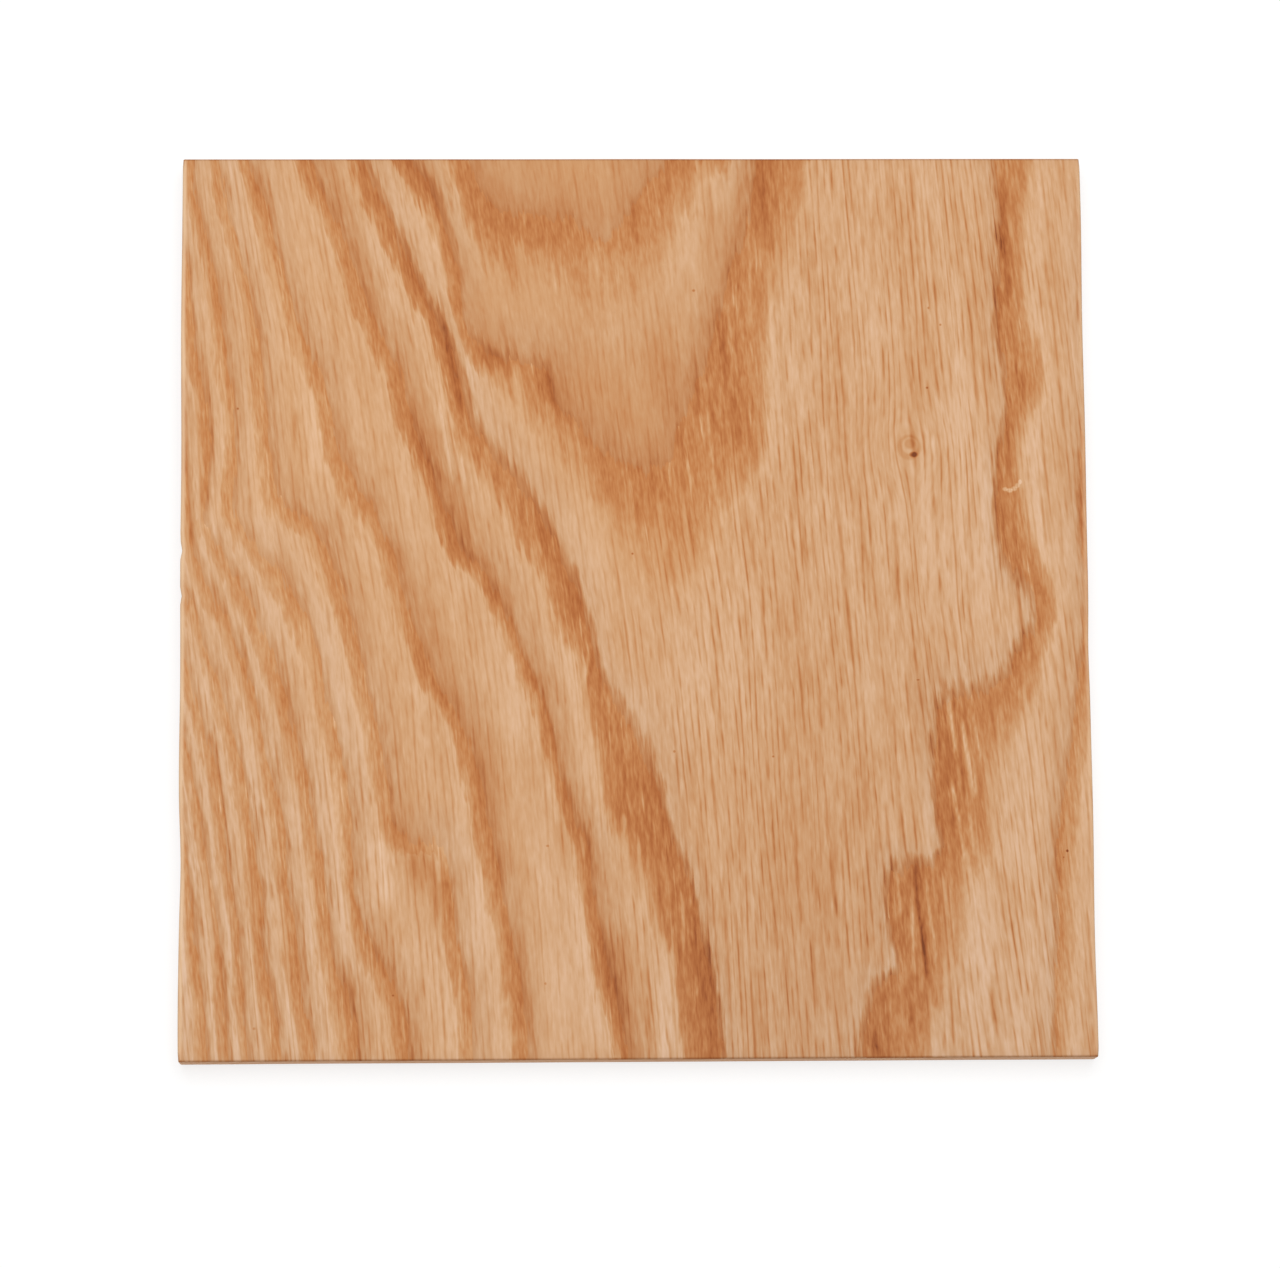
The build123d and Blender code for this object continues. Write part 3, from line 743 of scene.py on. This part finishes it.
def srgb(red, green, blue):
    """A colour of 8-bit sRGB values as linear RGBA."""
    def linear(c):
        c /= 255
        return c / 12.92 if c <= 0.04045 else ((c + 0.055) / 1.055) ** 2.4
    return (linear(red), linear(green), linear(blue), 1.0)


NOISE_SPREAD = 0.13  # the standard deviation of plain noise


class Nodes:
    """Adds nodes to a new material. A value may be a number or another node's output."""

    def __init__(self, name):
        self.material = bpy.data.materials.new(name)
        self.material.use_nodes = True
        self.tree = self.material.node_tree
        self.tree.nodes.clear()

    def new(self, kind, **settings):
        node = self.tree.nodes.new(kind)
        for name, value in settings.items():
            setattr(node, name, value)
        return node

    def feed(self, socket, value):
        if isinstance(value, bpy.types.NodeSocket):
            self.tree.links.new(value, socket)
        else:
            socket.default_value = value

    def math(self, operation, *values, clamp=False):
        node = self.new("ShaderNodeMath", operation=operation, use_clamp=clamp)
        for socket, value in zip(node.inputs, values):
            self.feed(socket, value)
        return node.outputs[0]

    def plus(self, first, second, clamp=False):
        return self.math("ADD", first, second, clamp=clamp)

    def times(self, first, second):
        return self.math("MULTIPLY", first, second)

    def scaled(self, value, factor, more=0.0, clamp=False):
        return self.math("MULTIPLY_ADD", value, factor, more, clamp=clamp)

    def blend(self, at, weights, more=0.0, clamp=False):
        """More, and the sum of the named noises by their weights."""
        total = more
        for name, weight in weights:
            total = self.scaled(getattr(at, name), weight, total, clamp and name == weights[-1][0])
        return total

    def vector(self, operation, *values, output=0):
        node = self.new("ShaderNodeVectorMath", operation=operation)
        for socket, value in zip(node.inputs, values):
            self.feed(socket, value)
        return node.outputs[output]

    def attribute(self, name, output="Vector"):
        """What the mesh carries under this name."""
        return self.new("ShaderNodeAttribute", attribute_name=name).outputs[output]

    def split(self, vector):
        """The three numbers of a vector."""
        node = self.new("ShaderNodeSeparateXYZ")
        self.feed(node.inputs[0], vector)
        return node.outputs

    def noise(self, place, sizes, offset):
        """Noise whose blobs have these sizes in millimetres, with mean 0 and spread about 1."""
        moved = self.vector("MULTIPLY_ADD", place, [1 / s for s in sizes], [offset] * 3)
        node = self.new("ShaderNodeTexNoise", noise_dimensions="3D")
        self.feed(node.inputs["Vector"], moved)
        node.inputs["Scale"].default_value = 1.0
        node.inputs["Detail"].default_value = 1.0
        return self.math("DIVIDE", self.math("SUBTRACT", node.outputs["Fac"], 0.5), NOISE_SPREAD)

    def colours(self, value, stops, interpolation="LINEAR"):
        """Colours along a value from 0 to 1."""
        node = self.new("ShaderNodeValToRGB")
        ramp = node.color_ramp
        ramp.interpolation = interpolation
        while len(ramp.elements) < len(stops):
            ramp.elements.new(0.5)
        for element, (position, colour) in zip(ramp.elements, stops):
            element.position = position
            element.color = colour
        self.feed(node.inputs[0], value)
        return node.outputs["Color"]

    def curve(self, value, stops):
        """A smooth curve through (position, height) stops, from 0 to 1 both ways."""
        greys = [(position, (height, height, height, 1)) for position, height in stops]
        return self.colours(value, greys, "EASE")

    def mix(self, factor, first, second, blend="MIX"):
        node = self.new("ShaderNodeMix", data_type="RGBA", blend_type=blend)
        self.feed(node.inputs[0], factor)
        self.feed(node.inputs[6], first)
        self.feed(node.inputs[7], second)
        return node.outputs[2]

    def spot(self, place, centre, sizes, soft):
        """1 inside an ellipsoid about centre, fading to 0 at its skin."""
        scales = [1 / s for s in sizes]
        back = [-c / s for c, s in zip(centre, sizes)]
        moved = self.vector("MULTIPLY_ADD", place, scales, back)
        reach = self.vector("LENGTH", moved, output=1)
        node = self.new("ShaderNodeMapRange", interpolation_type="SMOOTHSTEP")
        self.feed(node.inputs["Value"], reach)
        node.inputs["From Min"].default_value = 1.0 - soft
        node.inputs["From Max"].default_value = 1.0
        node.inputs["To Min"].default_value = 1.0
        node.inputs["To Max"].default_value = 0.0
        return node.outputs["Result"]

    def surface(self, shader):
        """Gives the material this shader."""
        output = self.new("ShaderNodeOutputMaterial")
        self.feed(output.inputs["Surface"], shader)


# Noises drawn out along the fibre: width across it and length along it in millimetres, and
# an offset that keeps them apart
NOISES = {
    "hair": (0.32, 2.6, 71.0),
    "long_hair": (0.5, 18.0, 5.0),
    "drift": (2.4, 40.0, 31.0),
    "flame": (1.7, 13.0, 57.0),
    "cloud": (6.0, 15.0, 83.0),
    "grit": (0.26, 1.3, 11.0),
    "gate": (0.85, 10.0, 43.0),
    "thread": (0.36, 6.0, 23.0),
}

# Mixtures of these noises, as (name, weight)
PULL = (("flame", 0.5), ("gate", 0.7), ("hair", 1.0))  # moves the bands about a little
FINGERS = (("long_hair", 0.7), ("flame", 0.6), ("gate", 0.7), ("hair", 0.5))  # at ragged ends
STREAKS = (("hair", 0.55), ("long_hair", 0.5))
BREAKS = (("gate", 0.3), ("hair", 0.25), ("flame", 0.15))  # break the drawn lines up

# How the early wood's darkness comes on from its ragged end inwards, and how the late
# wood's comes on before the next boundary, by the part of a ring and by nearness
EARLY_CURVE = ((0.0, 0.0), (0.25, 0.1), (0.7, 0.9), (1.0, 1.0))
LATE_CURVE = ((0.55, 0.0), (0.75, 0.2), (0.88, 0.5), (0.96, 0.85), (1.0, 1.0))
NEAR_CURVE = ((0.0, 0.95), (1.0, 0.0))
EARLY_SLOPE = 0.22
EARLY_START = 1.1  # its darkness at the boundary, cut off at 1
EARLY_FALL = 0.75  # how much of it is gone at its end
SOFT_FALL = 0.35  # how much more goes where the end is soft
BAND_DEPTH = 0.345  # how much darker a band of full strength is than the pale wood

# The palest wood lies just beyond the early wood
PALE_CURVE = ((0.0, 0.0), (0.1, 0.0), (0.25, 1.0), (0.45, 0.6), (1.0, 0.0))
PALE_REACH = 5.0  # in units of the early wood's fade
PALE_START = 0.1
PALE_FALL = 1.6  # how fast it goes towards the next boundary
PALE_DEPTH = 0.09

STREAK_DEPTH = 0.34
STREAK_SKEW = 0.2  # the dark streaks are narrower and stronger than the pale ones
STREAK_MEAN = 1.02
STREAK_EARLY = 0.3  # how much more of them there is in the early wood
FLAME_STREAK = 0.3
LINE_DEPTH = 0.27  # of the fine drawn-out lines
LINE_SPACING = 0.78  # millimetres
LINE_DRIFT = 2.2  # how far they wander, in radians of their spacing
LINE_SHARPNESS = 4.0
LINE_COVER = 0.48  # how much of a line is left between its breaks
LINE_EARLY = 0.75  # how much weaker they are in the early wood
LINE_MEAN = 0.12
FLECK_DEPTH = 0.26  # of the pale threads in the early wood
FLECK_GATE = 0.4
FLECK_GAIN = 0.8
FLECK_START = 0.9
PORE_DEPTH = 0.04
PORE_PLAIN = 0.024  # the same outside the early wood
CLOUD_DEPTH = 0.028

# Wood's colours by darkness
WOOD_COLOURS = (
    (0.0, (232, 195, 162)),
    (0.09, (227, 186, 150)),
    (0.18, (221, 177, 137)),
    (0.27, (214, 166, 122)),
    (0.36, (208, 155, 108)),
    (0.45, (203, 144, 95)),
    (0.55, (197, 132, 81)),
    (0.64, (189, 121, 71)),
    (0.73, (182, 111, 62)),
    (0.82, (172, 101, 55)),
    (0.91, (158, 88, 48)),
    (1.0, (128, 68, 38)),
)

# The wood is more orange or pinker than that by place and by part of the ring
ORANGE_TINT = (1.055, 0.985, 0.86, 1)
PINK_TINT = (0.95, 1.012, 1.14, 1)
ORANGE_EARLY = 0.36
PINK_LATE = 0.6
ORANGE_SLOPE = 0.25  # how fast the orange goes beyond the early wood, by its fade
PINK_SLOPE = 0.35  # how fast the pink goes inwards from a boundary, by the shoulder
ORANGE_PLACES = (  # (x, y, reach, tone), orange with +1 and pink with -1
    (-50, 22, 42, 0.4),
    (3, 8, 10, 0.25),
    (-6, 49, 6, 0.3),
    (20, -54, 22, -0.75),
    (32, -15, 26, -0.2),
    (46, -50, 14, -0.25),
)

# Finish
ROUGHNESS = 0.5
ROUGHNESS_GAIN = 0.2  # how much rougher the darkest wood is
SPECULAR = 0.1
BUMP_STRENGTH = 0.25
BUMP_HEIGHT = 0.05  # millimetres
BUMP_HAIR = 0.1  # how deep the streaks are sunk, in bump heights
BUMP_PORES = 2.0  # the same for the pores

# The edges' colours: how far each takes over, and its colour. The end arrises darken partly for the
# darker end grain and partly as painted shade;
# the long-grain arrises carry a painted highlight, and the end faces are paled as painted bounce
# light from the white ground
END_ARRIS_GRAIN_AND_SHADE = (0.75, (180, 145, 120))  # multiplied, on the arrises across the grain: partly darker end grain, partly painted shade
# painted highlight along the long-grain arrises, stronger on the left
SIDE_ARRIS_HIGHLIGHT = (0.65, (240, 204, 166))
# the end faces' own end-grain colour, made paler as painted bounce light from the white ground
END_FACE_GRAIN_AND_BOUNCE = (0.6, (232, 180, 136))

# Small things in the show face: x, y, the two half sizes, softness, tone
SPECKS = (
    # The pin knot
    (30.3, 17.3, 1.5, 1.6, 0.25, 0.14), (30.4, 17.5, 1.05, 1.1, 0.3, -0.16),
    (30.4, 17.7, 0.75, 0.75, 0.5, 0.16), (30.8, 16.5, 0.6, 0.42, 0.6, 0.55),
    (33, 17.6, 0.5, 1.6, 0.8, -0.12), (28.3, 17.4, 0.4, 1.6, 0.8, -0.1),
    # The pale chip
    (40.85, 12.6, 0.4, 0.28, 0.5, -0.3), (41.35, 12.45, 0.45, 0.32, 0.5, -0.34),
    (41.85, 12.65, 0.42, 0.34, 0.5, -0.3), (42.2, 13, 0.34, 0.36, 0.5, -0.28),
    (42.5, 13.4, 0.26, 0.36, 0.5, -0.26),
    # Dark specks
    (-43.6, 21.8, 0.17, 0.17, 0.6, 0.4), (6.7, 35, 0.24, 0.2, 0.6, 0.3),
    (-0.3, 5.5, 0.16, 0.16, 0.6, 0.45), (32.7, 33, 0.15, 0.2, 0.6, 0.3),
    (34, 31.1, 0.17, 0.17, 0.6, 0.35), (32.4, 24, 0.2, 0.17, 0.6, 0.4),
    (4.1, -16.4, 0.18, 0.2, 0.6, 0.3), (14.9, -17, 0.18, 0.15, 0.6, 0.35),
    (30.9, -8.6, 0.25, 0.12, 0.6, 0.3), (46.9, -27.5, 0.2, 0.2, 0.5, 0.5),
    (46.5, -28.2, 0.12, 0.12, 0.6, 0.3), (-9.8, -26.7, 0.24, 0.17, 0.6, 0.25),
    (-10.1, -41.7, 0.17, 0.2, 0.6, 0.25), (-41.6, -46.4, 0.22, 0.2, 0.6, 0.22),
    (-26.6, -42.9, 0.18, 0.15, 0.6, 0.3),
)
SPECK_HEIGHT = 0.5  # how deep a speck goes


def specks(n):
    """The knot, the chip and the specks in the show face, as darkness."""
    place = n.vector("MULTIPLY", n.new("ShaderNodeTexCoord").outputs["Object"], [1 / MM] * 3)
    total = 0.0
    for x, y, wide, high, soft, tone in SPECKS:
        spot = n.spot(place, (x, y, TOP), (wide, high, SPECK_HEIGHT), soft)
        total = n.scaled(spot, tone, total)
    return total


def read_board(n):
    """What the mesh carries and the noises along its fibre, by name."""
    at = SimpleNamespace()
    at.ring = n.attribute("ring", "Fac")
    at.base = n.attribute("base", "Fac")
    at.streaky, at.orange, at.soft = n.split(n.attribute("local"))
    at.wobble, at.fade, at.shoulder = n.split(n.attribute("widths"))
    at.late_share, at.stretch, at.strength = n.split(n.attribute("band"))
    at.end_wear, at.side_wear, at.end_grain = n.split(n.attribute("wear"))
    at.fibre = n.attribute("fibre")
    for name, (wide, long, offset) in NOISES.items():
        setattr(at, name, n.noise(at.fibre, (wide, long, wide), offset))
    return at


def ring_darkness(n, at):
    """The darkness of the rings. Part, beyond, near and early are kept for what follows."""
    at.part = n.math("FRACT", n.scaled(n.blend(at, PULL), at.wobble, at.ring))
    at.beyond = n.times(n.scaled(at.part, at.stretch, -EARLY_END), at.fade)
    ragged = n.blend(at, FINGERS, at.beyond)
    early = n.curve(n.scaled(ragged, -EARLY_SLOPE, 0.5), EARLY_CURVE)
    fall = n.times(n.times(at.part, at.stretch), n.scaled(at.soft, -SOFT_FALL, -EARLY_FALL))
    at.early = n.times(early, n.plus(EARLY_START, fall, clamp=True))
    at.near = n.times(n.math("SUBTRACT", 1.0, at.part), at.shoulder)
    late = n.times(n.curve(at.part, LATE_CURVE), at.late_share)
    late = n.math("MAXIMUM", late, n.times(n.curve(at.near, NEAR_CURVE), at.strength))
    dark = n.scaled(n.scaled(at.early, at.strength, late), BAND_DEPTH, at.base)
    pale = n.curve(n.scaled(at.beyond, 1 / PALE_REACH, PALE_START), PALE_CURVE)
    pale = n.times(pale, n.scaled(at.part, -PALE_FALL, PALE_FALL, clamp=True))
    return n.scaled(n.math("DIVIDE", pale, at.soft), -PALE_DEPTH, dark)


def streak_darkness(n, at, dark):
    """Adds the streaks that are everywhere and the fine lines drawn out along the fibre."""
    lines = n.times(n.blend(at, STREAKS), n.scaled(at.early, STREAK_EARLY, at.streaky))
    lines = n.scaled(at.flame, FLAME_STREAK, lines)
    skewed = n.math("EXPONENT", n.scaled(lines, STREAK_SKEW))
    dark = n.plus(dark, n.scaled(skewed, STREAK_DEPTH, -STREAK_DEPTH * STREAK_MEAN))
    wander = n.scaled(at.drift, LINE_DRIFT)
    turn = n.scaled(n.split(at.fibre)[0], math.tau / LINE_SPACING, wander)
    ridge = n.math("POWER", n.scaled(n.math("COSINE", turn), 0.5, 0.5), LINE_SHARPNESS)
    broken = n.blend(at, BREAKS, LINE_COVER, clamp=True)
    plain = n.times(n.scaled(at.early, -LINE_EARLY, 1.0), at.streaky)
    drawn = n.times(ridge, n.times(broken, plain))
    return n.plus(dark, n.scaled(drawn, LINE_DEPTH, -LINE_MEAN * LINE_DEPTH))


def pore_darkness(n, at, dark):
    """Adds the pale threads, the pores, the clouds and the specks."""
    flecks = n.scaled(at.gate, FLECK_GATE, at.thread)
    flecks = n.times(n.scaled(flecks, FLECK_GAIN, -FLECK_START, clamp=True), at.early)
    dark = n.scaled(flecks, -FLECK_DEPTH, dark)
    at.pores = n.times(at.grit, n.scaled(at.early, PORE_DEPTH, PORE_PLAIN))
    dark = n.plus(dark, at.pores)
    dark = n.scaled(at.cloud, CLOUD_DEPTH, dark)
    return n.plus(dark, specks(n), clamp=True)


def tinted(n, at, colour):
    """The colour made more orange or pinker."""
    new_wood = n.scaled(at.beyond, -ORANGE_SLOPE, 0.5, clamp=True)
    old_wood = n.scaled(at.near, -PINK_SLOPE, 1.0, clamp=True)
    hue = n.scaled(new_wood, ORANGE_EARLY, at.orange)
    hue = n.scaled(old_wood, -PINK_LATE, hue)
    tint = n.mix(n.scaled(hue, 0.5, 0.5, clamp=True), PINK_TINT, ORANGE_TINT)
    return n.mix(1.0, colour, tint, "MULTIPLY")


def edges_with_painted_light(n, at, colour):
    """The colour with painted light and shade on the edges: the end arrises darkened across the end
    grain, partly as painted shade; a painted highlight on the long-grain arrises; and the end faces
    paled as painted bounce light.
    """
    # The end arrises are darkened, partly for the darker end grain and partly as painted shade
    # where they roll away from the light
    share, edge_colour = END_ARRIS_GRAIN_AND_SHADE
    end_arris_darkened = n.mix(1.0, colour, srgb(*edge_colour), "MULTIPLY")
    colour = n.mix(n.scaled(at.end_wear, share), colour, end_arris_darkened)
    # The long-grain arrises get a painted highlight, and the end faces are paled as painted bounce
    # light
    for wear, (share, edge_colour) in ((at.side_wear, SIDE_ARRIS_HIGHLIGHT), (at.end_grain, END_FACE_GRAIN_AND_BOUNCE)):
        colour = n.mix(n.scaled(wear, share), colour, srgb(*edge_colour))
    return colour


def ash_material():
    """Bare, fine-sanded ash: rings, fibre streaks, pores, and arrises and end faces that carry
    painted shade, painted highlight and painted bounce light.
    """
    n = Nodes("ash_wood")
    at = read_board(n)
    dark = ring_darkness(n, at)
    dark = streak_darkness(n, at, dark)
    dark = pore_darkness(n, at, dark)
    colour = n.colours(dark, [(place, srgb(*value)) for place, value in WOOD_COLOURS])
    colour = edges_with_painted_light(n, at, tinted(n, at, colour))

    shader = n.new("ShaderNodeBsdfPrincipled")
    n.feed(shader.inputs["Base Color"], colour)
    n.feed(shader.inputs["Roughness"], n.scaled(dark, ROUGHNESS_GAIN, ROUGHNESS))
    shader.inputs["Specular IOR Level"].default_value = SPECULAR
    bump = n.new("ShaderNodeBump")
    bump.inputs["Strength"].default_value = BUMP_STRENGTH
    bump.inputs["Distance"].default_value = BUMP_HEIGHT * MM
    relief = n.plus(n.scaled(at.hair, BUMP_HAIR), n.scaled(at.pores, BUMP_PORES))
    n.feed(bump.inputs["Height"], n.scaled(relief, -1.0))
    n.feed(shader.inputs["Normal"], bump.outputs["Normal"])
    n.surface(shader.outputs["BSDF"])
    return n.material


# Ground, light and camera

GROUND_SIZE = 3.0  # metres from its middle to each edge
GROUND_LIFT = 0.74  # how much the ground glows where it is seen
GROUND_UNSEEN = (0.8, 0.8, 0.8, 1)  # its colour for the light that it sends on
GROUND_SEEN = (0.3, 0.3, 0.3, 1)


def make_ground():
    """A white ground that keeps the board's shadow."""
    mesh = bpy.data.meshes.new("ground")
    quarters = ((-1, -1), (1, -1), (1, 1), (-1, 1))
    corners = [(x * GROUND_SIZE, y * GROUND_SIZE, 0) for x, y in quarters]
    mesh.from_pydata(corners, [], [(0, 1, 2, 3)])
    ground = bpy.data.objects.new("ground", mesh)
    bpy.context.scene.collection.objects.link(ground)
    n = Nodes("white_ground")
    paper = n.new("ShaderNodeBsdfDiffuse")
    lift = n.new("ShaderNodeEmission")
    lift.inputs["Color"].default_value = (1, 1, 1, 1)
    rays = n.new("ShaderNodeLightPath")
    seen = n.plus(rays.outputs["Is Camera Ray"], rays.outputs["Is Glossy Ray"])
    seen = n.plus(seen, rays.outputs["Is Transmission Ray"], clamp=True)
    n.feed(lift.inputs["Strength"], n.scaled(seen, GROUND_LIFT))
    n.feed(paper.inputs["Color"], n.mix(seen, GROUND_UNSEEN, GROUND_SEEN))
    both = n.new("ShaderNodeAddShader")
    n.feed(both.inputs[0], paper.outputs[0])
    n.feed(both.inputs[1], lift.outputs[0])
    n.surface(both.outputs[0])
    mesh.materials.append(n.material)


WORLD_STRENGTH = 0.45
SOFTBOX_SIZE = 0.7
SOFTBOX_DISTANCE = 1.0
SOFTBOX_TILT = 14  # degrees towards the far side
SOFTBOX_WATTS = 6.2


def make_light():
    """An even sky and one soft box over the far side."""
    world = bpy.data.worlds.new("studio")
    world.use_nodes = True
    background = world.node_tree.nodes["Background"]
    background.inputs["Color"].default_value = (1, 1, 1, 1)
    background.inputs["Strength"].default_value = WORLD_STRENGTH
    bpy.context.scene.world = world
    data = bpy.data.lights.new("softbox", "AREA")
    data.shape = "SQUARE"
    data.size = SOFTBOX_SIZE
    data.energy = SOFTBOX_WATTS
    lamp = bpy.data.objects.new("softbox", data)
    tilt = math.radians(SOFTBOX_TILT)
    away = Vector((0, math.sin(tilt), math.cos(tilt)))
    lamp.location = away * SOFTBOX_DISTANCE
    lamp.rotation_euler = (-tilt, 0, 0)
    bpy.context.scene.collection.objects.link(lamp)


# The camera that gives the photograph's outline of the board
IMAGE_WIDTH = 1280
FOCAL_PIXELS = 5206
SENSOR_WIDTH = 36.0
CAMERA_PLACE = (-17.35, -88.99, 567.41)
CAMERA_TURN = (8.646, -1.74, -0.46)


def make_camera():
    """The camera at the photograph's angle."""
    data = bpy.data.cameras.new("camera")
    data.sensor_width = SENSOR_WIDTH
    data.lens = FOCAL_PIXELS / IMAGE_WIDTH * SENSOR_WIDTH
    data.clip_start = 0.01
    data.clip_end = 20
    camera = bpy.data.objects.new("camera", data)
    camera.location = [c * MM for c in CAMERA_PLACE]
    camera.rotation_euler = [math.radians(a) for a in CAMERA_TURN]
    bpy.context.scene.collection.objects.link(camera)
    bpy.context.scene.camera = camera


make_board()
make_ground()
make_light()
make_camera()
bpy.context.scene.view_settings.view_transform = "Standard"
